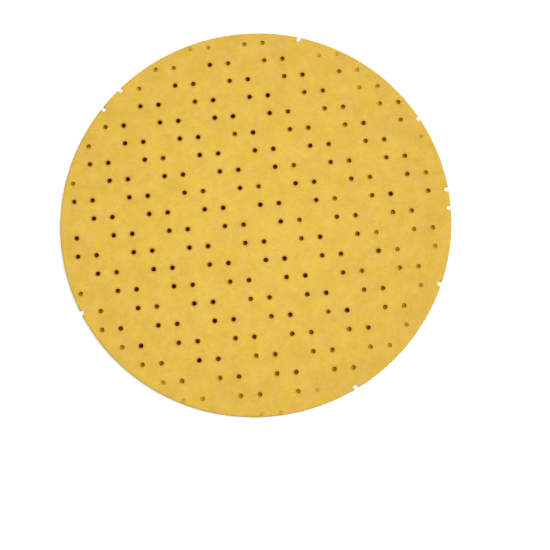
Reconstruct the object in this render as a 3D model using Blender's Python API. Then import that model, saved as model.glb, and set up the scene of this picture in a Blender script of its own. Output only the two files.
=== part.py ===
"""Perforated hook and loop sanding disc, lying on its loop side with its abrasive side up.

The disc is a laminate of two sheets: coated abrasive paper on top, and the loop fabric that the
sander's pad grips underneath. Both were glued together, punched through with small dust holes, and
then cut round, so the rim bites into every hole that it crosses. Metres, +Z up. The origin is the
middle of the loop face, and the rows of holes run along X.
"""

import math

import bpy

# Outline
DISC_DIAMETER = 0.225
RIM_SIDES = 180

# Thickness, from the loop face up
FABRIC_THICKNESS = 0.0011
GLUE_GAP = 0.0003
PAPER_THICKNESS = 0.0006

# Dust holes: a nearly square net that leaves out every third diagonal. Its columns lean a little
HOLE_DIAMETER = 0.0026
HOLE_SIDES = 10
NET_PITCH_X = 0.010725
NET_PITCH_Y = 0.010823
NET_LEAN = 0.0229
NET_X = 0.00411
NET_Y = -0.0024
DIAGONALS_IN_A_GROUP = 3

# A strip of paper narrower than this between a hole and the rim tears, which opens the hole
THINNEST_LAND = 0.0003
FEWEST_BITE_SIDES = 2

# Two points this close are one
SAME_POINT = 1e-6

# Finishes: linear red, green and blue, and roughness
GRAIN_GOLD = (0.78, 0.51, 0.08)
GRAIN_ROUGHNESS = 0.8
LOOP_WHITE = (0.80, 0.78, 0.72)
LOOP_ROUGHNESS = 0.95

DISC_RADIUS = DISC_DIAMETER / 2
HOLE_RADIUS = HOLE_DIAMETER / 2


def clear_scene():
    """Removes whatever the scene holds."""
    for obj in list(bpy.data.objects):
        bpy.data.objects.remove(obj)


def hole_centres():
    """The middles of all holes of the punched sheet that touch the disc."""
    reach = DISC_RADIUS + HOLE_RADIUS
    steps = math.ceil(reach / min(NET_PITCH_X, NET_PITCH_Y)) + 1
    centres = []
    for column in range(-steps, steps + 1):
        for row in range(-steps, steps + 1):
            y = NET_Y + row * NET_PITCH_Y
            x = NET_X + column * NET_PITCH_X - NET_LEAN * y
            left_out = (column + row) % DIAGONALS_IN_A_GROUP == 0
            if not left_out and math.hypot(x, y) < reach:
                centres.append((x, y))
    return centres


def is_whole(centre):
    """True for a hole with enough paper between it and the rim to hold."""
    return math.hypot(*centre) + HOLE_RADIUS + THINNEST_LAND <= DISC_RADIUS


def is_bite(centre):
    """True for a hole that the rim cuts open."""
    reaches_in = math.hypot(*centre) - HOLE_RADIUS < DISC_RADIUS
    return reaches_in and not is_whole(centre)


def arc(centre, radius, start, end, sides):
    """Points on a circle from one angle to another, both ends included, in that many equal steps."""
    angles = [start + (end - start) * n / sides for n in range(sides + 1)]
    return [(centre[0] + radius * math.cos(a), centre[1] + radius * math.sin(a)) for a in angles]


def hole_outline(centre):
    """A whole hole's outline."""
    return arc(centre, HOLE_RADIUS, 0, math.tau, HOLE_SIDES)[:-1]


def mouth_half_width(distance):
    """Half the width of the opening that a bite leaves in the rim, from its middle's distance."""
    offset = (distance**2 + DISC_RADIUS**2 - HOLE_RADIUS**2) / (2 * distance)
    crossing = math.sqrt(max(DISC_RADIUS**2 - offset**2, 0))
    torn = THINNEST_LAND if distance < DISC_RADIUS else 0
    return max(crossing, torn)


def bite_outline(centre):
    """(first rim angle, last rim angle, points between them) of one bite in the rim."""
    distance = math.hypot(*centre)
    outward = math.atan2(centre[1], centre[0])
    half_width = mouth_half_width(distance)
    half_mouth = math.asin(half_width / DISC_RADIUS)
    lip = math.asin(min(half_width / HOLE_RADIUS, 1))
    if distance > DISC_RADIUS * math.cos(half_mouth):
        lip = math.pi - lip
    swept = math.tau - 2 * lip
    sides = max(FEWEST_BITE_SIDES, round(swept / math.tau * HOLE_SIDES))
    points = arc(centre, HOLE_RADIUS, outward - lip, outward - lip - swept, sides)
    return outward - half_mouth, outward + half_mouth, points


def rim_outline():
    """The disc's outline: the cut circle, with a bite wherever it crosses a hole."""
    bites = sorted(bite_outline(centre) for centre in hole_centres() if is_bite(centre))
    if not bites:
        return arc((0, 0), DISC_RADIUS, 0, math.tau, RIM_SIDES)[:-1]
    points = []
    for number, (_, rim_start, _) in enumerate(bites):
        following = bites[(number + 1) % len(bites)]
        rim_end = following[0] + (math.tau if number + 1 == len(bites) else 0)
        sides = max(1, round((rim_end - rim_start) / math.tau * RIM_SIDES))
        points += arc((0, 0), DISC_RADIUS, rim_start, rim_end, sides)
        points += following[2]
    return without_doubles(points)


def without_doubles(points):
    """The outline's points, with one left of any two neighbours that lie on each other."""
    pairs = zip(points[-1:] + points, points)
    return [here for before, here in pairs if math.dist(before, here) > SAME_POINT]


def make_material(name, colour, roughness):
    """A plain non-metal material."""
    material = bpy.data.materials.new(name)
    material.use_nodes = True
    shader = material.node_tree.nodes["Principled BSDF"]
    shader.inputs["Base Color"].default_value = (*colour, 1)
    shader.inputs["Roughness"].default_value = roughness
    shader.inputs["Metallic"].default_value = 0
    material.diffuse_color = (*colour, 1)
    return material


def make_sheet(name, outlines, bottom, thickness, material, collection):
    """A flat sheet of that thickness: the first outline is its edge, and the rest are its holes."""
    curve = bpy.data.curves.new(name, "CURVE")
    curve.dimensions = "2D"
    curve.fill_mode = "BOTH"
    curve.extrude = thickness / 2
    for outline in outlines:
        spline = curve.splines.new("POLY")
        spline.points.add(len(outline) - 1)
        for point, (x, y) in zip(spline.points, outline):
            point.co = (x, y, 0, 1)
        spline.use_cyclic_u = True
    curve.materials.append(material)
    sheet = bpy.data.objects.new(name, curve)
    sheet.location.z = bottom + thickness / 2
    collection.objects.link(sheet)
    return sheet


def main():
    clear_scene()
    collection = bpy.data.collections.new("sanding_disc")
    bpy.context.scene.collection.children.link(collection)
    holes = [hole_outline(centre) for centre in hole_centres() if is_whole(centre)]
    outlines = [rim_outline(), *holes]
    loop_white = make_material("loop_white", LOOP_WHITE, LOOP_ROUGHNESS)
    grain_gold = make_material("grain_gold", GRAIN_GOLD, GRAIN_ROUGHNESS)
    paper_bottom = FABRIC_THICKNESS + GLUE_GAP
    make_sheet("loop_fabric", outlines, 0, FABRIC_THICKNESS, loop_white, collection)
    make_sheet("abrasive_paper", outlines, paper_bottom, PAPER_THICKNESS, grain_gold, collection)


main()
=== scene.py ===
"""Looks of the perforated hook and loop sanding disc: grain face, punched holes, rim and loop back.

The frame is in metres. The disc's shapes are in millimetres here, until make_piece makes objects of
them.
"""

import math

import bpy
import numpy as np
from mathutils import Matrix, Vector
from mathutils.geometry import delaunay_2d_cdt


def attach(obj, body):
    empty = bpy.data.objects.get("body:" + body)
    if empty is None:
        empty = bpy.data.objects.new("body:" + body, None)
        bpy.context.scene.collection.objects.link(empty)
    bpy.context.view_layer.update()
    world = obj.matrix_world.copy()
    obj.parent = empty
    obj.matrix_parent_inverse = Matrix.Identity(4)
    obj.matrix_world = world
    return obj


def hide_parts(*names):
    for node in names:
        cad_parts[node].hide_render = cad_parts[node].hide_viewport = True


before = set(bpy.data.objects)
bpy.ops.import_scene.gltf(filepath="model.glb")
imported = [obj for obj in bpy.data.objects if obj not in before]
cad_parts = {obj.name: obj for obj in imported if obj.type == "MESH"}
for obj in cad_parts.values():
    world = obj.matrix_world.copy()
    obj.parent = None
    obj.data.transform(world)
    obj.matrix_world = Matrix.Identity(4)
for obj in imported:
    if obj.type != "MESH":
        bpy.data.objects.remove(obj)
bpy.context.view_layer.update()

MM = 0.001

# The disc, in millimetres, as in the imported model
DISC_RADIUS = 112.5
HOLE_RADIUS = 1.3
NET_PITCH_X = 10.725
NET_PITCH_Y = 10.823
NET_LEAN = 0.0229
NET_X = 4.11
NET_Y = -2.4
DIAGONALS_IN_A_GROUP = 3

# A hole with less paper than THINNEST_LAND before the rim is torn open, and the horns of paper beside
# its mouth are gone where they are narrower than WORN_LAND
THINNEST_LAND = 0.3
WORN_LAND = 0.5

# Levels, in millimetres above the table
COAT_LEVEL = 1.86
HIGHEST_GRAIN = 1.995
COAT_BOTTOM = 1.62
PAPER_BOTTOM = 1.1
GROUND_TOP = 1.08
GROUND_BOTTOM = 0.55
GROUND_HEM = 0.03
LOWEST_YARN = 0.004

# How finely the sheets are cut into triangles, in sides or millimetres
RIM_SIDES = 720
HOLE_SIDES = 24
FEWEST_BITE_SIDES = 2
SAME_POINT = 1e-3
ON_THE_RIM = 1e-6
COAT_GRID = 1.5
COAT_GRID_FROM_HOLE = 2.0
GROUND_GRID = 2.6
GROUND_GRID_FROM_HOLE = 1.0
GRID_FROM_RIM = 1.3
GRID_UNEVEN = 0.18
# The coat's rings of points: (gap from the edge, turn in a hole's sides or in radians)
HOLE_RINGS = ((0.16, 0.5), (0.4, 0), (0.8, 0.5), (1.5, 0))
RIM_RINGS = ((0.22, 0.004), (0.6, 0))
RINGS_FROM_RIM = 0.9
RIM_RINGS_FROM_HOLE = 0.2

# The coat's wear, in millimetres: its roughness, the (depth, width) of its dips next to the holes and
# the rim, and the (height, width) of the lip round each hole
COAT_ROUGH = 0.012
HOLE_DIP = (0.07, 0.12)
RIM_DIP = (0.09, 0.15)
HOLE_LIP = (0.02, 0.15)
LIP_FROM_HOLE = 0.3

# How far the cut wanders inwards, how far from holes it does, and its waves: (number, phase)
RIM_WAVE = 0.12
RIM_WAVE_FROM_HOLE = 0.5
RIM_WAVES = ((17, 0.4), (29, 2.1), (53, 4.0), (97, 1.2))

# Grains: how many each piece has, and their lengths in millimetres. They keep GRAIN_CLEAR from the
# holes and from the rim
GRAIN_PIECES = 2
GRAINS = 32000
GRAIN_SIDES = 5
GRAIN_SIZE = (0.30, 0.56)
GRAIN_CLEAR = (0.2, 0.25)
GRAIN_SUNK = 0.035
# How crooked they are: their corners' turn in sides, the shares of half their size that their corners
# reach, and the share of their size that their tips lean
GRAIN_TURN = 0.3
GRAIN_REACH = (0.6, 1.15)
GRAIN_LEAN = 0.22
# How far they rise above the coat, by chance and for each millimetre of their size, and how strong
# their own shades are
GRAIN_RISE = (0.02, 0.09)
GRAIN_RISE_BY_SIZE = 0.08
GRAIN_SHADE = 0.25

# Loops: how many each piece has, and their lengths in millimetres
LOOP_PIECES = 2
LOOPS = 6300
LOOP_SPAN = (0.7, 1.6)
LOOP_LOWEST = (0.08, 0.28)
LOOP_CLEAR = (0.3, 0.3)
LOOP_FROM_HOLE = 0.1
LOOP_ROOT = 0.05
YARN = 0.15
YARN_UNEVEN = (0.8, 1.2)
YARN_TONE = (0, 0.7)
# (middle, spread) of their turn in radians, and of their lean towards X and towards Y
LOOP_TURN = (math.pi / 2, 0.55)
LOOP_LEAN_X = (0.0, 0.4)
LOOP_LEAN_Y = (-0.35, 0.4)
# Their points, from foot to foot: (share of the span, share of the height)
ARCH = ((-0.5, 0), (-0.4, 0.75), (0, 1), (0.4, 0.75), (0.5, 0))

# The short ends under the rim, in millimetres. They start FRINGE_ROOT inside it
FRINGE = 1800
FRINGE_LENGTH = (0.25, 0.75)
FRINGE_LEVEL = (0.1, 0.95)
FRINGE_LOWEST = 0.06
FRINGE_ROOT = 0.15
FRINGE_FROM_HOLE = 0.3
FRINGE_TURN = 0.7
FRINGE_DROOP = 0.4
FRINGE_FIBRE = 0.09
FRINGE_TAPER = 0.5
FRINGE_TONE = (0, 0.8)

# Loose fibres: how many each hole has, and their lengths in millimetres
HOLE_FIBRES = 32
HOLE_FIBRE_LENGTH = (0.7, 2.5)
HOLE_FIBRE_POINTS = 4
FIBRE = 0.18
FIBRE_UNEVEN = (0.7, 1.3)
FIBRE_TAPER = 0.6
# Their turn in radians from straight across the hole, their bow, their start over the mat, and their
# rise on the way
FIBRE_TURN = (-1.0, 1.0)
FIBRE_BOW = (-0.35, 0.35)
FIBRE_START = (0.03, 0.55)
FIBRE_RISE = (-0.35, 0.25)
# Where they may lie: shares of the hole's radius, and gaps below the mat's and the coat's levels
FIBRE_ROOT = 1.04
FIBRE_END = 1.05
FIBRE_IN_MAT = 0.02
FIBRE_UNDER_COAT = 0.12

# The mats' level in dark holes, what it gains as the tone goes from 0 to 1 and from 1 to 2, how far
# chance moves a point, and the lowest that a point may lie
MAT_LEVEL = 0.38
MAT_RISE_LIGHTER = 0.17
MAT_RISE_FADED = 1.05
MAT_ROUGH = 0.07
MAT_LOWEST = 0.02
# A mat's shape, from the middle of its top over its edge to the middle of its underside: (share of
# the hole's radius, height over the mat's level). Its top ends with ring number TOP_RINGS
MAT_RINGS = ((0, 0), (0.38, 0.02), (0.7, 0.08), (1.02, 0.2), (1.02, 0.1), (0.6, -0.12), (0, -0.18))
TOP_RINGS = 3

# Scorch round the holes: how far it reaches on the coat and on the loops, in millimetres, its
# strength, what it loses for a tone of 1, and how much stronger it may be round dark holes. Its strength
# so follows the holes' painted shade
SCORCH_REACH = 1.4
LOOP_SCORCH_REACH = 0.5
SCORCH_MOST = 0.75
SCORCH_BY_TONE = 0.6
SCORCH_DARKEST = 1.25
# Burnt and shaded walls: points this close to a hole belong to its wall, which is painted brown for burn
# and painted shade, less for lighter tones
WALL_REACH = 0.1
BURN_AND_SHADE_BY_TONE = 0.5
# Dirt and painted shade at the rim: how far it reaches, in millimetres, its strength all round, and how
# much more it has on one side, given in degrees round from +X. That side faces away from the lamp, and
# the more it has there is painted shade
RIM_DARK_REACH = 0.7
RIM_DARK_MEAN = 0.30
RIM_SHADE_SWING = 0.28
RIM_SHADE_SIDE = 205

# The law of the holes' tones, which is painted shade in the holes: what it is at the middle, what it
# gains by the rim at +X, at +Y and all round, and how far chance spreads it. It paints holes darker in
# the middle and towards -X, lighter towards +X and the rim
TONE_MIDDLE = -0.15
TONE_TO_X = 0.94
TONE_TO_Y = -0.17
TONE_TO_RIM = 1.2
TONE_CHANCE = 0.27
# Between these two distances from the middle, holes fade as painted light, but not at +X and -X. The
# bites beyond
# FADED_FROM are painted lightest and are not scorched
FADING = (99, 110)
FADED_MOST = 2.4
FADED_FROM = 111
# The tones of the near black painted shade below the mats, of the darkest hole and of the darkest fibre
# in it
UNDERSIDE_SHADE_TONE = (-1.05, -0.85)
DARKEST = -0.5
DARKEST_FIBRE = -0.6
# What the tone gains next to the wall, on a mat and on a fibre, where the painted shade is lighter, and
# how far chance spreads each
MAT_TONE_OUTWARDS = 0.1
MAT_TONE_CHANCE = 0.1
UNDERSIDE_SHADE_CHANCE = 0.06
FIBRE_TONE_OUTWARDS = 0.12
FIBRE_TONE_CHANCE = 0.15

# Feature sizes in the materials, in millimetres
CRYSTAL = 0.34
CLUMP = 1.5
MOTTLE = 13.0
PAPER_FIBRE = 0.25
KNIT_FIBRE = 0.3
STITCH_HEAD = 0.62
YARN_PATCH = 12.0
YARN_FIBRE = 0.06
HOLE_FIBRE_PATCH = 0.4
HOLE_FIBRE_FLUFF = 0.08
# How deep their bumps are, in millimetres
COAT_DEPTH = 0.08
EDGE_DEPTH = 0.05
KNIT_DEPTH = 0.2
YARN_DEPTH = 0.02
HOLE_FIBRE_DEPTH = 0.03
# The scales of the knit's rows and stitches, and how far apart the coat's two mottles are read
ROWS = 0.22
STITCHES = 0.30
MOTTLES_APART = (300.0, 200.0, 0.0)

# Colours, as linear red, green and blue. The first four are the coat's two mottles
DULL_GOLD = (0.774, 0.489, 0.0755)
VIVID_GOLD = (0.836, 0.547, 0.0635)
PALE_TINT = (1.035, 1.035, 1.30)
DEEP_TINT = (0.967, 0.967, 0.74)
# Painted shade: the gold darkens outwards by this tint
RIM_SHADE_TINT = (0.924, 0.908, 0.862)
NO_TINT = (1.0, 1.0, 1.0)
GOLD_DEEP = (0.62, 0.365, 0.030)
GOLD_PALE = (0.92, 0.670, 0.110)
SCORCH = (0.50, 0.22, 0.001)
# The rim's dark line: dirt, and painted shade on the side away from the lamp
RIM_DIRT_AND_SHADE = (0.10, 0.032, 0.002)
PAPER_TAN = (0.46, 0.28, 0.065)
# Brown of the holes' walls, and of the knit and loops at the holes: burn and painted shade
BURN_AND_SHADE_BROWN = (0.24, 0.060, 0.001)
# The holes' colours by tone: painted shade, from near black below the mats over browns, to gold where a
# hole is painted light
DEEPEST_SHADE = (0.022, 0.012, 0.006)
DARK_FIBRE = (0.075, 0.012, 0.0003)
SHADED_FIBRE = (0.31, 0.080, 0.001)
BROWN_FIBRE = (0.75, 0.39, 0.006)
LIT_GOLD = (0.86, 0.55, 0.075)
LOOP_WHITE = (0.80, 0.78, 0.72)
LOOP_SHADE = (0.62, 0.59, 0.52)
TABLE_WHITE = (0.70, 0.70, 0.70)

# How tones above the deepest painted shade colour the fibre in the holes, from painted shade to painted
# light gold:
# (tone where it starts, tone where it is full, colour)
SHADE_TONE_COLOURS = (
    (-1.0, -0.6, DARK_FIBRE),
    (-0.5, 0.1, SHADED_FIBRE),
    (0.1, 1.0, BROWN_FIBRE),
    (1.0, 2.0, LIT_GOLD),
)

# The photograph's camera: its place in metres, its turn in degrees, and its lens and sensor in
# millimetres
CAMERA_PLACE = (0.02479, -0.12873, 0.58850)
CAMERA_TURN = (9.107, 2.228, -4.386)
LENS = 68.43
SENSOR = 36.0

# Light: the shares of the sky and the lamp, the lamp's direction in degrees from straight up and
# round from +X, and its width in degrees
SKY = 0.40
LAMP = 0.62
LAMP_TILT = 46
LAMP_TURN = 20
LAMP_SPREAD = 35

# The table: its size in metres, and its glow, which starts a little inside the disc's edge
TABLE = 8
TABLE_GLOW = 0.6
GLOW_FROM = (DISC_RADIUS - 6, DISC_RADIUS - 5)


# Materials

def set_inputs(tree, node, inputs):
    """Sets a node's inputs, by name or number, to values or to other nodes' outputs."""
    for key, value in inputs.items():
        socket = node.inputs[key]
        if isinstance(value, bpy.types.NodeSocket):
            tree.links.new(value, socket)
        else:
            socket.default_value = value


def add(tree, kind, inputs=None, **settings):
    """Adds a node with its settings and inputs."""
    node = tree.nodes.new(kind)
    for key, value in settings.items():
        setattr(node, key, value)
    set_inputs(tree, node, inputs or {})
    return node


def calc(tree, operation, *values, clamp=False):
    """The output of a Math node."""
    inputs = dict(enumerate(values))
    return add(tree, "ShaderNodeMath", inputs, operation=operation, use_clamp=clamp).outputs[0]


def blend(tree, factor, first, second, mode="MIX"):
    """The output of a Mix Color node. Colours are given as three numbers or as an output."""
    node = add(tree, "ShaderNodeMix", data_type="RGBA", blend_type=mode)
    colours = [(*c, 1) if isinstance(c, tuple) else c for c in (first, second)]
    set_inputs(tree, node, {0: factor, 6: colours[0], 7: colours[1]})
    return node.outputs[2]


def spread(tree, value, low, high, to_low=0.0, to_high=1.0):
    """Maps a value from one range to another, and holds it there."""
    inputs = dict(enumerate((value, low, high, to_low, to_high)))
    return add(tree, "ShaderNodeMapRange", inputs, clamp=True).outputs[0]


def millimetres(tree):
    """The place on the piece, in millimetres."""
    place = add(tree, "ShaderNodeTexCoord").outputs["Object"]
    inputs = {0: place, "Scale": 1 / MM}
    return add(tree, "ShaderNodeVectorMath", inputs, operation="SCALE").outputs[0]


def from_middle(tree, place):
    """How far a place is from the middle of the disc."""
    return add(tree, "ShaderNodeVectorMath", {0: place}, operation="LENGTH").outputs["Value"]


def noise(tree, place, size, detail=2.0, roughness=0.5):
    """Noise with features of about that size in millimetres."""
    inputs = {"Vector": place, "Scale": 1 / size, "Detail": detail, "Roughness": roughness}
    return add(tree, "ShaderNodeTexNoise", inputs).outputs["Fac"]


def cells(tree, place, size, output="Distance"):
    """Cells of about that size in millimetres."""
    inputs = {"Vector": place, "Scale": 1 / size}
    return add(tree, "ShaderNodeTexVoronoi", inputs).outputs[output]


def stripes(tree, place, direction, scale):
    """Soft uneven stripes across X or Y."""
    inputs = {"Vector": place, "Scale": scale, "Distortion": 1.2, "Detail": 2.0}
    return add(tree, "ShaderNodeTexWave", inputs, bands_direction=direction).outputs["Fac"]


def attribute(tree, name):
    """A number that the mesh holds at each point."""
    return add(tree, "ShaderNodeAttribute", attribute_name=name).outputs["Fac"]


def new_material(name, roughness, sheen=0.0, specular=None):
    """(material, its node tree, its Principled shader)"""
    material = bpy.data.materials.new(name)
    material.use_nodes = True
    tree = material.node_tree
    shader = tree.nodes["Principled BSDF"]
    set_inputs(tree, shader, {"Roughness": roughness, "Sheen Weight": sheen})
    if specular is not None:
        set_inputs(tree, shader, {"Specular IOR Level": specular})
    return material, tree, shader


def dress(tree, shader, colour, height, depth):
    """Gives the shader its colour, and a bump of that depth in millimetres."""
    tree.links.new(colour, shader.inputs["Base Color"])
    node = add(tree, "ShaderNodeBump", {"Height": height, "Distance": depth * MM, "Strength": 1.0})
    tree.links.new(node.outputs[0], shader.inputs["Normal"])


def mottle(tree, place):
    """Soft patches, from 0 to 1."""
    return spread(tree, noise(tree, place, MOTTLE, 3.0, 1.0), 0.38, 0.62)


def mottled_gold(tree, place):
    """Gold that is dull or vivid and deep or pale in soft patches, and a little darker outwards as
    painted shade.
    """
    elsewhere = add(tree, "ShaderNodeVectorMath", {0: place, 1: MOTTLES_APART}).outputs[0]
    colour = blend(tree, mottle(tree, place), DULL_GOLD, VIVID_GOLD)
    tint = blend(tree, mottle(tree, elsewhere), DEEP_TINT, PALE_TINT)
    colour = blend(tree, 1.0, colour, tint, "MULTIPLY")
    # Painted shade, darker outwards
    outer = calc(tree, "POWER", calc(tree, "DIVIDE", from_middle(tree, place), DISC_RADIUS), 2.0)
    return blend(tree, 1.0, colour, blend(tree, outer, NO_TINT, RIM_SHADE_TINT), "MULTIPLY")


def coat_material():
    """Gold bond coat over packed grain, scorched brown at the holes, and darker at the rim for dirt and
    painted shade.
    """
    material, tree, shader = new_material("gold_grain_coat", 0.7, specular=0.3)
    place = millimetres(tree)
    grain = cells(tree, place, CRYSTAL)
    tint = add(tree, "ShaderNodeSeparateColor", {0: cells(tree, place, CRYSTAL, "Color")}).outputs[0]
    clumps = noise(tree, place, CLUMP, 2.0, 0.6)
    colour = mottled_gold(tree, place)
    colour = blend(tree, spread(tree, clumps, 0.35, 0.70, 0.0, 0.12), colour, GOLD_DEEP)
    colour = blend(tree, spread(tree, tint, 0.2, 1.0, 0.0, 0.14), colour, GOLD_PALE)
    colour = blend(tree, attribute(tree, "deep"), colour, GOLD_DEEP)
    colour = blend(tree, attribute(tree, "pale"), colour, GOLD_PALE)
    ragged = spread(tree, clumps, 0.25, 0.75, 0.75, 1.25)
    # Scorch at the holes, and dirt and painted shade at the rim
    for name, stain_and_shade in (("scorch", SCORCH), ("edge", RIM_DIRT_AND_SHADE)):
        share = calc(tree, "MULTIPLY", attribute(tree, name), ragged, clamp=True)
        colour = blend(tree, share, colour, stain_and_shade)
    height = calc(tree, "SUBTRACT", calc(tree, "MULTIPLY", clumps, 0.5), grain)
    dress(tree, shader, colour, height, COAT_DEPTH)
    return material


def edge_material():
    """The cut edge of the paper and the walls of the holes: tan paper fibre, browned in the holes for
    burn and painted shade.
    """
    material, tree, shader = new_material("cut_paper_edge", 0.95, specular=0.1)
    fibres = noise(tree, millimetres(tree), PAPER_FIBRE, 3.0, 0.6)
    colour = blend(tree, spread(tree, fibres, 0.3, 0.7, 0.0, 0.4), PAPER_TAN, BURN_AND_SHADE_BROWN)
    colour = blend(tree, attribute(tree, "burnt_and_shaded"), colour, BURN_AND_SHADE_BROWN)
    dress(tree, shader, colour, fibres, EDGE_DEPTH)
    return material


def knit_material():
    """Off-white knitted ground in rows of stitches, darker in its gaps as painted shade, and browned at
    the holes for burn and painted shade.
    """
    material, tree, shader = new_material("loop_knit", 0.95, 0.3)
    place = millimetres(tree)
    fibres = noise(tree, place, KNIT_FIBRE, 3.0, 0.6)
    rows, stitches = stripes(tree, place, "X", ROWS), stripes(tree, place, "Y", STITCHES)
    relief = calc(tree, "MULTIPLY", rows, stitches)
    relief = calc(tree, "SUBTRACT", calc(tree, "MULTIPLY", relief, 0.6), cells(tree, place, STITCH_HEAD))
    # Darker in the gaps between stitches: painted shade
    colour = blend(tree, spread(tree, relief, 0.1, -0.7, 0.0, 0.9), LOOP_WHITE, LOOP_SHADE)
    colour = blend(tree, spread(tree, fibres, 0.3, 0.7, 0.0, 0.3), colour, LOOP_SHADE)
    # Browned at the holes: burn and painted shade
    colour = blend(tree, attribute(tree, "burnt_and_shaded"), colour, BURN_AND_SHADE_BROWN)
    height = calc(tree, "ADD", relief, calc(tree, "MULTIPLY", fibres, 0.4))
    dress(tree, shader, colour, height, KNIT_DEPTH)
    return material


def yarn_material():
    """Fine off-white yarn, of a slightly different white in each loop."""
    material, tree, shader = new_material("loop_yarn", 0.9, 0.4)
    place = millimetres(tree)
    patches = spread(tree, noise(tree, place, YARN_PATCH, 3.0, 0.6), 0.4, 0.7, 0.0, 0.25)
    colour = blend(tree, attribute(tree, "tone"), LOOP_WHITE, LOOP_SHADE)
    colour = blend(tree, patches, colour, LOOP_SHADE)
    # Browned next to the holes: scorch that follows the holes' painted shade
    colour = blend(tree, attribute(tree, "burnt_and_shaded"), colour, BURN_AND_SHADE_BROWN)
    dress(tree, shader, colour, noise(tree, place, YARN_FIBRE), YARN_DEPTH)
    return material


def hole_shade_material():
    """Painted shade on the mats and fibres in the holes: from near black over browns to gold where a hole
    is painted light.
    """
    material, tree, shader = new_material("hole_shade_fibre", 0.95, specular=0.1)
    place = millimetres(tree)
    tone = attribute(tree, "tone")
    colour = DEEPEST_SHADE
    for low, high, following in SHADE_TONE_COLOURS:
        colour = blend(tree, spread(tree, tone, low, high), colour, following)
    shade = spread(tree, noise(tree, place, HOLE_FIBRE_PATCH), 0.3, 0.7, 0.0, 0.4)
    colour = blend(tree, shade, colour, blend(tree, 1.0, colour, BROWN_FIBRE, "MULTIPLY"))
    dress(tree, shader, colour, noise(tree, place, HOLE_FIBRE_FLUFF), HOLE_FIBRE_DEPTH)
    return material


# Outlines, in millimetres

def net_centres():
    """The middles of all holes of the punched net that touch the disc."""
    reach = DISC_RADIUS + HOLE_RADIUS
    steps = math.ceil(reach / min(NET_PITCH_X, NET_PITCH_Y)) + 1
    centres = []
    for column in range(-steps, steps + 1):
        for row in range(-steps, steps + 1):
            y = NET_Y + row * NET_PITCH_Y
            x = NET_X + column * NET_PITCH_X - NET_LEAN * y
            if (column + row) % DIAGONALS_IN_A_GROUP and math.hypot(x, y) < reach:
                centres.append((x, y))
    return np.array(centres)


def around(centre, radius, angles):
    """Points on a circle at those angles."""
    return np.column_stack([centre[0] + radius * np.cos(angles), centre[1] + radius * np.sin(angles)])


def arc(centre, radius, start, end, sides):
    """Points on a circle from one angle to another, both ends included."""
    return around(centre, radius, np.linspace(start, end, sides + 1))


def ring(centre, radius, turn=0.0):
    """A closed ring of points, as many as a hole has sides, turned by that share of a circle."""
    return around(centre, radius, (np.arange(HOLE_SIDES) / HOLE_SIDES + turn) * math.tau)


def bite_outline(centre):
    """(first rim angle, last rim angle, points between them) of one bite in the rim.

    The thin horns beside its mouth are worn off, as far as they are narrower than WORN_LAND.
    """
    distance = math.hypot(*centre)
    outward = math.atan2(centre[1], centre[0])
    crossing = (DISC_RADIUS - distance) / HOLE_RADIUS
    lip = math.acos(max(crossing - WORN_LAND / HOLE_RADIUS, min(crossing, 0)))
    half_mouth = math.asin(HOLE_RADIUS * math.sin(lip) / DISC_RADIUS)
    swept = math.tau - 2 * lip
    sides = max(FEWEST_BITE_SIDES, round(swept / math.tau * HOLE_SIDES))
    points = arc(centre, HOLE_RADIUS, outward - lip, outward - lip - swept, sides)
    return outward - half_mouth, outward + half_mouth, points


def rim_outline(centres):
    """The disc's outline: the cut circle, with a bite wherever it crosses a hole."""
    bites = sorted((bite_outline(c) for c in centres), key=lambda bite: bite[0])
    runs = []
    for number, (_, rim_start, _) in enumerate(bites):
        following = bites[(number + 1) % len(bites)]
        rim_end = following[0] + (math.tau if number + 1 == len(bites) else 0)
        sides = max(1, round((rim_end - rim_start) / math.tau * RIM_SIDES))
        runs += [arc((0, 0), DISC_RADIUS, rim_start, rim_end, sides), following[2]]
    points = np.concatenate(runs)
    step = np.hypot(*(points - np.roll(points, 1, axis=0)).T)
    points = points[step > SAME_POINT]
    on_rim = np.hypot(*points.T) > DISC_RADIUS - ON_THE_RIM
    away = np.hypot(points[:, None, 0] - centres[:, 0], points[:, None, 1] - centres[:, 1]).min(axis=1)
    wave = rim_wave(points) * np.clip(away - HOLE_RADIUS - RIM_WAVE_FROM_HOLE, 0, 1)
    return points * np.where(on_rim, 1 - wave / DISC_RADIUS, 1)[:, None]


def rim_wave(points):
    """How far the cut wanders inwards at each point: a few sines round the disc."""
    angle = np.arctan2(points[:, 1], points[:, 0])
    waves = sum(np.sin(angle * turns + phase) for turns, phase in RIM_WAVES)
    return RIM_WAVE * (0.5 + waves / (2 * len(RIM_WAVES)))


def inside(points, outline):
    """Which points lie inside a closed outline."""
    found = np.zeros(len(points), bool)
    for (x0, y0), (x1, y1) in zip(np.roll(outline, 1, axis=0), outline):
        crosses = (points[:, 1] < y0) != (points[:, 1] < y1)
        if crosses.any():
            at = x0 + (points[:, 1] - y0) / (y1 - y0) * (x1 - x0)
            found ^= crosses & (points[:, 0] < at)
    return found


CENTRES = net_centres()
FROM_MIDDLE = np.hypot(*CENTRES.T)
IS_WHOLE = FROM_MIDDLE + HOLE_RADIUS + THINNEST_LAND <= DISC_RADIUS
WHOLE = CENTRES[IS_WHOLE]
RIM = rim_outline(CENTRES[~IS_WHOLE & (FROM_MIDDLE - HOLE_RADIUS < DISC_RADIUS)])
OUTLINES = [RIM, *(ring(centre, HOLE_RADIUS) for centre in WHOLE)]


def nearest_hole(points):
    """(each point's distance from the edge of the nearest hole, that hole's number)"""
    nearest = np.full(len(points), np.inf)
    number = np.zeros(len(points), int)
    for index, centre in enumerate(CENTRES):
        away = np.hypot(*(points - centre).T)
        closer = away < nearest
        nearest[closer] = away[closer]
        number[closer] = index
    return nearest - HOLE_RADIUS, number


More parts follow.
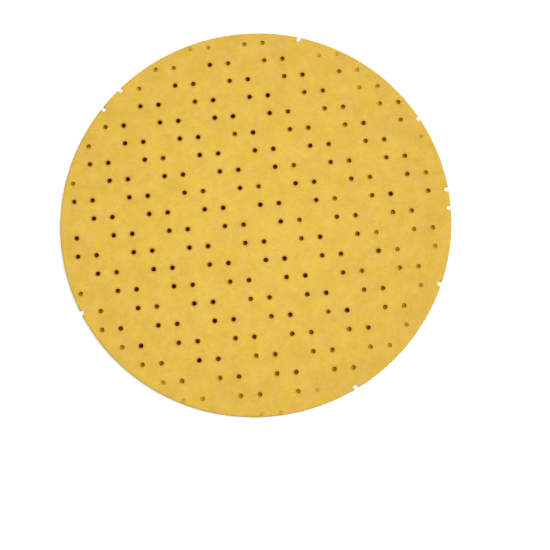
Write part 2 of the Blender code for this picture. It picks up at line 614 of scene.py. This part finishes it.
def to_nearest_hole(points):
    """Each point's distance from the edge of the nearest hole."""
    return nearest_hole(points)[0]


def hole_tones():
    """How faint each hole is, as painted shade: DARKEST is dark brown, 1 light brown, and 2 a gold mat
    that nearly fills it, painted light.
    """
    rng = np.random.default_rng(30)
    across, up = CENTRES.T / DISC_RADIUS
    out = FROM_MIDDLE / DISC_RADIUS
    tones = TONE_TO_X * across + TONE_TO_Y * up + TONE_TO_RIM * out**4 + TONE_MIDDLE
    tones += rng.normal(0, TONE_CHANCE, len(CENTRES))
    faded = np.clip((FROM_MIDDLE - FADING[0]) / (FADING[1] - FADING[0]), 0, 1)
    tones += FADED_MOST * faded * np.abs(up / out) * (0.6 - 0.5 * across / out)
    return np.clip(np.where(FROM_MIDDLE > FADED_FROM, 2, tones), DARKEST, 2)


TONES = hole_tones()


def mat_level(tones):
    """How high the matted fibre lies in holes of those tones, in millimetres above the table."""
    lighter, faded = np.clip(tones, 0, 1), np.clip(tones - 1, 0, 1)
    return MAT_LEVEL + MAT_RISE_LIGHTER * lighter + MAT_RISE_FADED * faded


def grid_points(spacing, from_hole, rng):
    """Points of a slightly uneven triangular grid over the sheet."""
    rise = spacing * math.sqrt(3) / 2
    line = np.arange(-DISC_RADIUS, DISC_RADIUS, spacing)
    rows = []
    for number, y in enumerate(np.arange(-DISC_RADIUS, DISC_RADIUS, rise)):
        rows.append(np.column_stack([line + (number % 2) * spacing / 2, np.full(len(line), y)]))
    points = np.concatenate(rows)
    points += rng.uniform(-GRID_UNEVEN, GRID_UNEVEN, points.shape) * spacing
    points = points[np.hypot(*points.T) < DISC_RADIUS - GRID_FROM_RIM]
    return points[to_nearest_hole(points) > from_hole]


def triangulate(outlines, loose):
    """(points, triangles, [point numbers of each outline]) of the sheet. The first outline is its rim."""
    runs, start = [], 0
    for outline in outlines:
        runs.append(np.arange(start, start + len(outline)))
        start += len(outline)
    points = np.concatenate([*outlines, loose])
    edges = [(int(a), int(b)) for run in runs for a, b in zip(run, np.roll(run, -1))]
    made, _, faces, *_ = delaunay_2d_cdt([Vector(p) for p in points], edges, [], 0, 1e-5)
    if len(made) != len(points):
        raise ValueError("two points of a sheet lie on each other")
    faces = np.array(faces)
    middles = points[faces].mean(axis=1)
    out = np.hypot(*middles.T)
    kept = out < DISC_RADIUS
    near_rim = kept & (out > DISC_RADIUS - 3 * HOLE_RADIUS)
    kept[near_rim] = inside(middles[near_rim], outlines[0])
    owner = np.full(len(points), -1)
    for number, run in enumerate(runs[1:]):
        owner[run] = number
    of_corners = owner[faces]
    in_a_hole = (of_corners[:, 0] >= 0) & (of_corners == of_corners[:, :1]).all(axis=1)
    return points, faces[kept & ~in_a_hole], runs


# Meshes

def make_piece(name, points, faces, materials, slot, smooth=True, slots=None, **numbers):
    """An object from points in millimetres. numbers are values that its material reads at each point."""
    mesh = bpy.data.meshes.new(name)
    sides = faces.shape[1]
    mesh.vertices.add(len(points))
    mesh.vertices.foreach_set("co", (np.asarray(points, np.float32) * MM).ravel())
    mesh.loops.add(faces.size)
    mesh.loops.foreach_set("vertex_index", faces.astype(np.int32).ravel())
    mesh.polygons.add(len(faces))
    mesh.polygons.foreach_set("loop_start", np.arange(0, faces.size, sides, dtype=np.int32))
    for material in materials:
        mesh.materials.append(material)
    if slots is not None:
        mesh.polygons.foreach_set("material_index", slots.astype(np.int32))
    mesh.polygons.foreach_set("use_smooth", np.full(len(faces), smooth))
    mesh.update(calc_edges=True)
    for key, values in numbers.items():
        data = mesh.attributes.new(key, "FLOAT", "POINT").data
        data.foreach_set("value", np.asarray(values, np.float32))
    if mesh.validate():
        raise ValueError(f"{name} has a bad face")
    piece = bpy.data.objects.new(name, mesh)
    bpy.context.scene.collection.objects.link(piece)
    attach(piece, "root")
    return piece


def band(upper, lower):
    """Triangles between two closed runs of as many points."""
    next_upper, next_lower = np.roll(upper, -1), np.roll(lower, -1)
    first = np.column_stack([upper, lower, next_upper])
    second = np.column_stack([next_upper, lower, next_lower])
    return np.concatenate([first, second])


def make_sheet(name, loose, top, bend, bottom, materials, slot, numbers):
    """A closed sheet with the disc's outlines.

    top gives the height of points of its upper face, and its walls bend at the height bend. The upper
    face wears the first material, and the walls and the lower face the second. numbers gives what
    they read at each point.
    """
    flat, upper, above = triangulate(OUTLINES, loose)
    flat_low, lower, below = triangulate(OUTLINES, np.empty((0, 2)))
    at_bend = np.column_stack([flat_low, np.full(len(flat_low), bend)])
    at_bottom = np.column_stack([flat_low, np.full(len(flat_low), bottom)])
    points = np.concatenate([np.column_stack([flat, top(flat)]), at_bend, at_bottom])
    to_bend, to_bottom = len(flat), len(flat) + len(flat_low)
    walls = [band(one, other + to_bend) for one, other in zip(above, below)]
    walls += [band(run + to_bend, run + to_bottom) for run in below]
    faces = np.concatenate([upper, *walls, lower[:, ::-1] + to_bottom])
    slots = np.arange(len(faces)) >= len(upper)
    return make_piece(name, points, faces, materials, slot, slots=slots, **numbers(points))


def scorch(points, reach=SCORCH_REACH):
    """How scorched the sheet is at each point. It is most next to the darkest holes, so it follows the
    holes' painted shade.
    """
    distance, number = nearest_hole(points[:, :2])
    by_hole = SCORCH_MOST * np.clip(1 - np.maximum(distance, 0) / reach, 0, 1) ** 2
    return by_hole * np.clip(1 - SCORCH_BY_TONE * TONES[number], 0, SCORCH_DARKEST)


def rim_dirt_and_shade(points):
    """How dark the rim is painted at each point: dirt all round, and painted shade most on the side away
    from the lamp.
    """
    gap = DISC_RADIUS - np.hypot(points[:, 0], points[:, 1])
    angle = np.arctan2(points[:, 1], points[:, 0])
    most = RIM_DARK_MEAN + RIM_SHADE_SWING * np.cos(angle - math.radians(RIM_SHADE_SIDE))
    return most * np.clip(1 - gap / RIM_DARK_REACH, 0, 1) ** 1.5


def burnt_and_shaded(points):
    """How dark a hole's wall is painted, for burn and painted shade: 1 in the darkest holes, less in
    lighter ones, and 0 away from the holes.
    """
    distance, number = nearest_hole(points[:, :2])
    return np.where(distance < WALL_REACH, np.clip(1 - BURN_AND_SHADE_BY_TONE * TONES[number], 0, 1), 0)


def coat_numbers(points):
    """What the coat's material reads at each point: scorch, and the rim's dirt and painted shade as edge.
    """
    return {"scorch": scorch(points), "edge": rim_dirt_and_shade(points)}


def paper_numbers(points):
    """What the paper's two materials read at each point."""
    return {**coat_numbers(points), "burnt_and_shaded": burnt_and_shaded(points)}


def knit_numbers(points):
    """What the knit's material reads at each point. Its lower face stays clean."""
    return {"burnt_and_shaded": burnt_and_shaded(points) * (points[:, 2] > GROUND_BOTTOM + GROUND_HEM / 2)}


def hump(distance, size):
    """A smooth hump of that (height, width) at distance 0."""
    return size[0] * np.exp(-((distance / size[1]) ** 2))


def make_coated_paper(coat, edge):
    """The coated paper: its coat rises and dips a little, and is worn down at the rim and the holes."""
    rng = np.random.default_rng(3)
    near = []
    for centre in CENTRES:
        near += [ring(centre, HOLE_RADIUS + gap, turn / HOLE_SIDES) for gap, turn in HOLE_RINGS]
    near = [points[np.hypot(*points.T) < DISC_RADIUS - RINGS_FROM_RIM] for points in near]
    for gap, turn in RIM_RINGS:
        line = arc((0, 0), DISC_RADIUS - gap, turn, math.tau + turn, RIM_SIDES)[:-1]
        near.append(line[to_nearest_hole(line) > RIM_RINGS_FROM_HOLE])
    loose = np.concatenate([*near, grid_points(COAT_GRID, COAT_GRID_FROM_HOLE, rng)])

    def top(flat):
        from_hole = to_nearest_hole(flat)
        from_rim = DISC_RADIUS - np.hypot(*flat.T)
        rough = rng.uniform(-COAT_ROUGH, COAT_ROUGH, len(flat))
        dip = hump(from_hole, HOLE_DIP) + hump(from_rim, RIM_DIP)
        return COAT_LEVEL + rough - dip + hump(from_hole - LIP_FROM_HOLE, HOLE_LIP)

    levels = (top, COAT_BOTTOM, PAPER_BOTTOM)
    piece = make_sheet("coated_paper", loose, *levels, [coat, edge], "abrasive_paper", paper_numbers)
    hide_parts("abrasive_paper")


def scatter(count, clear, rng):
    """That many random places on the disc, clear of its holes and rim by that much."""
    found = np.empty((0, 2))
    while len(found) < count:
        tries = rng.uniform(-DISC_RADIUS, DISC_RADIUS, (2 * count, 2))
        tries = tries[np.hypot(*tries.T) < DISC_RADIUS - clear[1]]
        found = np.concatenate([found, tries[to_nearest_hole(tries) > clear[0]]])
    return found[:count]


def make_grains(number, coat):
    """Abrasive crystals, half sunk in the bond coat: crooked spikes of all directions."""
    rng = np.random.default_rng(10 + number)
    middles = scatter(GRAINS, GRAIN_CLEAR, rng)
    size = rng.uniform(*GRAIN_SIZE, GRAINS)
    turn = rng.uniform(0, math.tau, (GRAINS, 1))
    uneven = rng.uniform(-GRAIN_TURN, GRAIN_TURN, (GRAINS, GRAIN_SIDES))
    angles = turn + (np.arange(GRAIN_SIDES) + uneven) / GRAIN_SIDES * math.tau
    reach = size[:, None] / 2 * rng.uniform(*GRAIN_REACH, (GRAINS, GRAIN_SIDES))
    x = middles[:, :1] + reach * np.cos(angles)
    y = middles[:, 1:] + reach * np.sin(angles)
    base = np.stack([x, y, np.full(reach.shape, COAT_LEVEL - GRAIN_SUNK)], axis=2)
    tips = middles + rng.uniform(-GRAIN_LEAN, GRAIN_LEAN, (GRAINS, 2)) * size[:, None]
    level = COAT_LEVEL + rng.uniform(*GRAIN_RISE, GRAINS) + GRAIN_RISE_BY_SIZE * size
    level = np.minimum(level, HIGHEST_GRAIN)
    points = np.concatenate([base, np.column_stack([tips, level])[:, None, :]], axis=1).reshape(-1, 3)
    side = np.arange(GRAIN_SIDES)
    spike = np.column_stack([side, (side + 1) % GRAIN_SIDES, np.full(GRAIN_SIDES, GRAIN_SIDES)])
    tone = np.repeat(rng.normal(0, 1, GRAINS), GRAIN_SIDES + 1)
    deep, pale = np.clip(tone, 0, 2) * GRAIN_SHADE, np.clip(-tone, 0, 2) * GRAIN_SHADE
    numbers = {"deep": deep, "pale": pale, **coat_numbers(points)}
    faces = repeated(spike, GRAINS, GRAIN_SIDES + 1)
    make_piece(f"grains_{number}", points, faces, [coat], "abrasive_paper", smooth=False, **numbers)


def repeated(faces, count, points_each):
    """The faces of that many copies of a shape, one after the other."""
    return (faces[None] + (np.arange(count) * points_each)[:, None, None]).reshape(-1, faces.shape[1])


def tubes(paths, thickness, taper=1.0):
    """(points, faces) of three-sided fibres along paths, an array of fibres by points by x, y and z."""
    count, steps, _ = paths.shape
    along = np.gradient(paths, axis=1)
    along /= np.linalg.norm(along, axis=2, keepdims=True) + 1e-9
    side = np.cross(along, (0.13, 0.21, 1.0))
    side /= np.linalg.norm(side, axis=2, keepdims=True) + 1e-9
    up = np.cross(side, along)
    width = np.asarray(thickness).reshape(-1, 1) / 2 * np.linspace(1, taper, steps)
    rings = []
    for corner in range(3):
        angle = math.tau * corner / 3
        rings.append(paths + width[:, :, None] * (math.cos(angle) * side + math.sin(angle) * up))
    points = np.stack(rings, axis=2)
    one = np.arange(3)
    other = (one + 1) % 3
    link = np.column_stack([one, other, 3 + other, 3 + one])
    tube = repeated(link, steps - 1, 3)
    return points.reshape(-1, 3), repeated(tube, count, steps * 3)


def for_each_point(values, paths):
    """One value for each fibre, repeated for each point of its tube."""
    return np.repeat(values, paths.shape[1] * 3)


def make_knit(look):
    """The knitted ground that the loops stand on."""
    rng = np.random.default_rng(4)
    loose = grid_points(GROUND_GRID, GROUND_GRID_FROM_HOLE, rng)
    levels = (lambda flat: np.full(len(flat), GROUND_TOP), GROUND_BOTTOM + GROUND_HEM, GROUND_BOTTOM)
    piece = make_sheet("knit_ground", loose, *levels, [look, look], "loop_fabric", knit_numbers)
    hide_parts("loop_fabric")
    return piece


def make_loops(number, look):
    """Brushed loops below the ground that lean one way and splay. There are none at the holes."""
    rng = np.random.default_rng(20 + number)
    feet = scatter(LOOPS, LOOP_CLEAR, rng)
    turn = rng.normal(*LOOP_TURN, LOOPS)
    span = rng.uniform(*LOOP_SPAN, LOOPS)
    lowest = rng.uniform(*LOOP_LOWEST, LOOPS)
    lean = np.column_stack([rng.normal(*LOOP_LEAN_X, LOOPS), rng.normal(*LOOP_LEAN_Y, LOOPS)])
    foot_level = GROUND_BOTTOM + LOOP_ROOT
    paths = np.empty((LOOPS, len(ARCH), 3))
    for step, (along, drop) in enumerate(ARCH):
        paths[:, step, 0] = feet[:, 0] + along * span * np.cos(turn) + lean[:, 0] * drop
        paths[:, step, 1] = feet[:, 1] + along * span * np.sin(turn) + lean[:, 1] * drop
        paths[:, step, 2] = foot_level - (foot_level - lowest) * drop
    from_hole = to_nearest_hole(paths[:, :, :2].reshape(-1, 2)).reshape(LOOPS, -1)
    paths = paths[from_hole.min(axis=1) > LOOP_FROM_HOLE]
    points, faces = tubes(paths, rng.uniform(*YARN_UNEVEN, len(paths)) * YARN)
    points[:, 2] = np.maximum(points[:, 2], LOWEST_YARN)
    tone = for_each_point(rng.uniform(*YARN_TONE, len(paths)), paths)
    # Browned next to the holes by scorch that follows the holes' painted shade
    numbers = {"burnt_and_shaded": scorch(points, LOOP_SCORCH_REACH), "tone": tone}
    return make_piece(f"loops_{number}", points, faces, [look], "loop_fabric", **numbers)


def mat_shape():
    """(places round the hole's middle, heights over the mat's level, triangles) of one mat."""
    shares, lifts = np.array(MAT_RINGS).T
    flat = [ring((0, 0), HOLE_RADIUS * share) for share in shares[1:-1]]
    flat = np.concatenate([[(0, 0)], *flat, [(0, 0)]])
    lift = np.repeat(lifts, [1, *(HOLE_SIDES for _ in shares[1:-1]), 1])
    runs = [1 + n * HOLE_SIDES + np.arange(HOLE_SIDES) for n in range(len(shares) - 2)]
    top = np.column_stack([np.zeros_like(runs[0]), runs[0], np.roll(runs[0], -1)])
    under = np.column_stack([np.full_like(runs[0], len(flat) - 1), np.roll(runs[-1], -1), runs[-1]])
    bands = [band(one, other) for one, other in zip(runs, runs[1:])]
    return flat, lift, np.concatenate([top, *bands, under])


def make_hole_mats(look):
    """Dark mats of loop fibre put in the holes, where there is only shade, and coloured as painted shade:
    shallow cups, near black below.
    """
    rng = np.random.default_rng(32)
    flat, lift, faces = mat_shape()
    size = (len(WHOLE), len(flat))
    tones = TONES[nearest_hole(WHOLE)[1]][:, None]
    height = mat_level(tones) + lift + rng.uniform(-MAT_ROUGH, MAT_ROUGH, size)
    height = np.maximum(height, MAT_LOWEST)
    # The top's tone is the hole's painted shade, lighter towards the wall, and the underside's is near
    # black painted shade
    above = tones + MAT_TONE_OUTWARDS * (np.hypot(*flat.T) / HOLE_RADIUS) ** 2
    above = above + rng.normal(0, MAT_TONE_CHANCE, size)
    below = rng.uniform(*UNDERSIDE_SHADE_TONE, (len(WHOLE), 1)) + rng.normal(0, UNDERSIDE_SHADE_CHANCE, size)
    is_below = np.arange(len(flat)) > TOP_RINGS * HOLE_SIDES
    tone = np.where(is_below, below, np.maximum(above, DARKEST_FIBRE))
    points = np.dstack([WHOLE[:, :1] + flat[:, 0], WHOLE[:, 1:] + flat[:, 1], height]).reshape(-1, 3)
    faces = repeated(faces, len(WHOLE), len(flat))
    make_piece("hole_mats", points, faces, [look], "loop_fabric", tone=tone.ravel())


def make_hole_fibres(look):
    """Loose fibres on the mats, that start at the hole's wall."""
    rng = np.random.default_rng(31)
    middle = np.repeat(WHOLE, HOLE_FIBRES, axis=0)
    count = len(middle)
    start = rng.uniform(0, math.tau, count)
    heading = start + math.pi + rng.uniform(*FIBRE_TURN, count)
    length = rng.uniform(*HOLE_FIBRE_LENGTH, count)
    curl = rng.uniform(*FIBRE_BOW, count)
    mat = mat_level(TONES[nearest_hole(middle)[1]])
    level = mat + rng.uniform(*FIBRE_START, count)
    rise = rng.uniform(*FIBRE_RISE, count)
    steps = np.linspace(0, 1, HOLE_FIBRE_POINTS)
    bow = np.sin(steps * math.pi)
    along_x, along_y = np.cos(heading), np.sin(heading)
    root = HOLE_RADIUS * FIBRE_ROOT
    x = root * np.cos(start)[:, None] + np.outer(length * along_x, steps) - np.outer(curl * along_y, bow)
    y = root * np.sin(start)[:, None] + np.outer(length * along_y, steps) + np.outer(curl * along_x, bow)
    too_far = np.maximum(np.hypot(x, y) / (HOLE_RADIUS * FIBRE_END), 1)
    z = level[:, None] + np.outer(rise, steps)
    z = np.clip(z, mat[:, None] - FIBRE_IN_MAT, COAT_LEVEL - FIBRE_UNDER_COAT)
    paths = np.stack([middle[:, :1] + x / too_far, middle[:, 1:] + y / too_far, z], axis=2)
    points, faces = tubes(paths, rng.uniform(*FIBRE_UNEVEN, count) * FIBRE, FIBRE_TAPER)
    # Their tone is the hole's painted shade, lighter next to the wall and by chance
    distance, number = nearest_hole(points[:, :2])
    by_wall = FIBRE_TONE_OUTWARDS * np.clip(1 + distance / HOLE_RADIUS, 0, 1) ** 2
    by_chance = for_each_point(rng.normal(0, FIBRE_TONE_CHANCE, count), paths)
    tone = np.maximum(TONES[number] + by_wall + by_chance, DARKEST_FIBRE)
    make_piece("hole_fibres", points, faces, [look], "loop_fabric", tone=tone)


def make_fringe(look):
    """Short ends of cut loops that stick out under the rim."""
    rng = np.random.default_rng(40)
    angle = rng.uniform(0, math.tau, FRINGE)
    start = around((0, 0), DISC_RADIUS - FRINGE_ROOT, angle)
    clear = to_nearest_hole(start) > FRINGE_FROM_HOLE
    start, angle = start[clear], angle[clear]
    heading = angle + rng.normal(0, FRINGE_TURN, len(angle))
    length = rng.uniform(*FRINGE_LENGTH, len(angle))
    level = rng.uniform(*FRINGE_LEVEL, len(angle))
    paths = np.empty((len(angle), 3, 3))
    for step, along in enumerate((0, 0.5, 1)):
        paths[:, step, 0] = start[:, 0] + along * length * np.cos(heading)
        paths[:, step, 1] = start[:, 1] + along * length * np.sin(heading)
        paths[:, step, 2] = np.maximum(level - FRINGE_DROOP * length * along**2, FRINGE_LOWEST)
    points, faces = tubes(paths, FRINGE_FIBRE, FRINGE_TAPER)
    tone = for_each_point(rng.uniform(*FRINGE_TONE, len(angle)), paths)
    return make_piece("cut_fringe", points, faces, [look], "loop_fabric", tone=tone)


# Stage

def make_camera():
    """The photograph's camera."""
    camera = bpy.data.objects.new("camera", bpy.data.cameras.new("camera"))
    camera.data.lens = LENS
    camera.data.sensor_width = SENSOR
    camera.location = CAMERA_PLACE
    camera.rotation_euler = [math.radians(turn) for turn in CAMERA_TURN]
    bpy.context.scene.collection.objects.link(camera)
    bpy.context.scene.camera = camera


def seen(tree):
    """1 for what the camera sees, in gloss and through glass too, and 0 for what only lights."""
    path = add(tree, "ShaderNodeLightPath").outputs
    in_gloss = calc(tree, "MAXIMUM", path["Is Camera Ray"], path["Is Glossy Ray"])
    return calc(tree, "MAXIMUM", in_gloss, path["Is Transmission Ray"])


def make_floor():
    """A white table top. Clear of the disc it glows a little to the camera, so that it shows white."""
    bpy.ops.mesh.primitive_plane_add(size=TABLE)
    floor = bpy.context.object
    floor.name = "floor"
    material, tree, shader = new_material("white_table", 1.0, specular=0.0)
    shader.inputs["Base Color"].default_value = (*TABLE_WHITE, 1)
    clear = spread(tree, from_middle(tree, millimetres(tree)), *GLOW_FROM)
    strength = calc(tree, "MULTIPLY", calc(tree, "MULTIPLY", seen(tree), clear), TABLE_GLOW)
    glow = add(tree, "ShaderNodeEmission", {"Strength": strength})
    both = add(tree, "ShaderNodeAddShader", {0: shader.outputs[0], 1: glow.outputs[0]})
    tree.links.new(both.outputs[0], tree.nodes["Material Output"].inputs["Surface"])
    floor.data.materials.append(material)


def make_light():
    """A sky and one large soft lamp. Together they show a colour about as it is written.

    The sky looks white behind the table, and lights the disc with less.
    """
    world = bpy.data.worlds.new("studio")
    bpy.context.scene.world = world
    world.use_nodes = True
    tree = world.node_tree
    strength = spread(tree, seen(tree), 0, 1, SKY, 1)
    set_inputs(tree, tree.nodes["Background"], {"Color": (1, 1, 1, 1), "Strength": strength})
    lamp = bpy.data.lights.new("window", "SUN")
    lamp.energy = LAMP * math.pi / math.cos(math.radians(LAMP_TILT))
    lamp.angle = math.radians(LAMP_SPREAD)
    window = bpy.data.objects.new("window", lamp)
    window.rotation_euler = (math.radians(LAMP_TILT), 0, math.radians(LAMP_TURN + 90))
    bpy.context.scene.collection.objects.link(window)


def make_paper_side():
    """The coated paper and its grain."""
    coat = coat_material()
    make_coated_paper(coat, edge_material())
    for number in range(GRAIN_PIECES):
        make_grains(number, coat)


def make_loop_side():
    """The fibre in the holes, coloured as painted shade, and the knitted sheet with its loops and its
    fringe.
    """
    hole_shade_look, yarn = hole_shade_material(), yarn_material()
    make_hole_mats(hole_shade_look)
    make_hole_fibres(hole_shade_look)
    knit = make_knit(knit_material())
    loops = [make_loops(number, yarn) for number in range(LOOP_PIECES)]
    fringe = make_fringe(yarn)


make_camera()
make_light()
make_floor()
make_paper_side()
make_loop_side()
bpy.context.scene.view_settings.view_transform = "Standard"
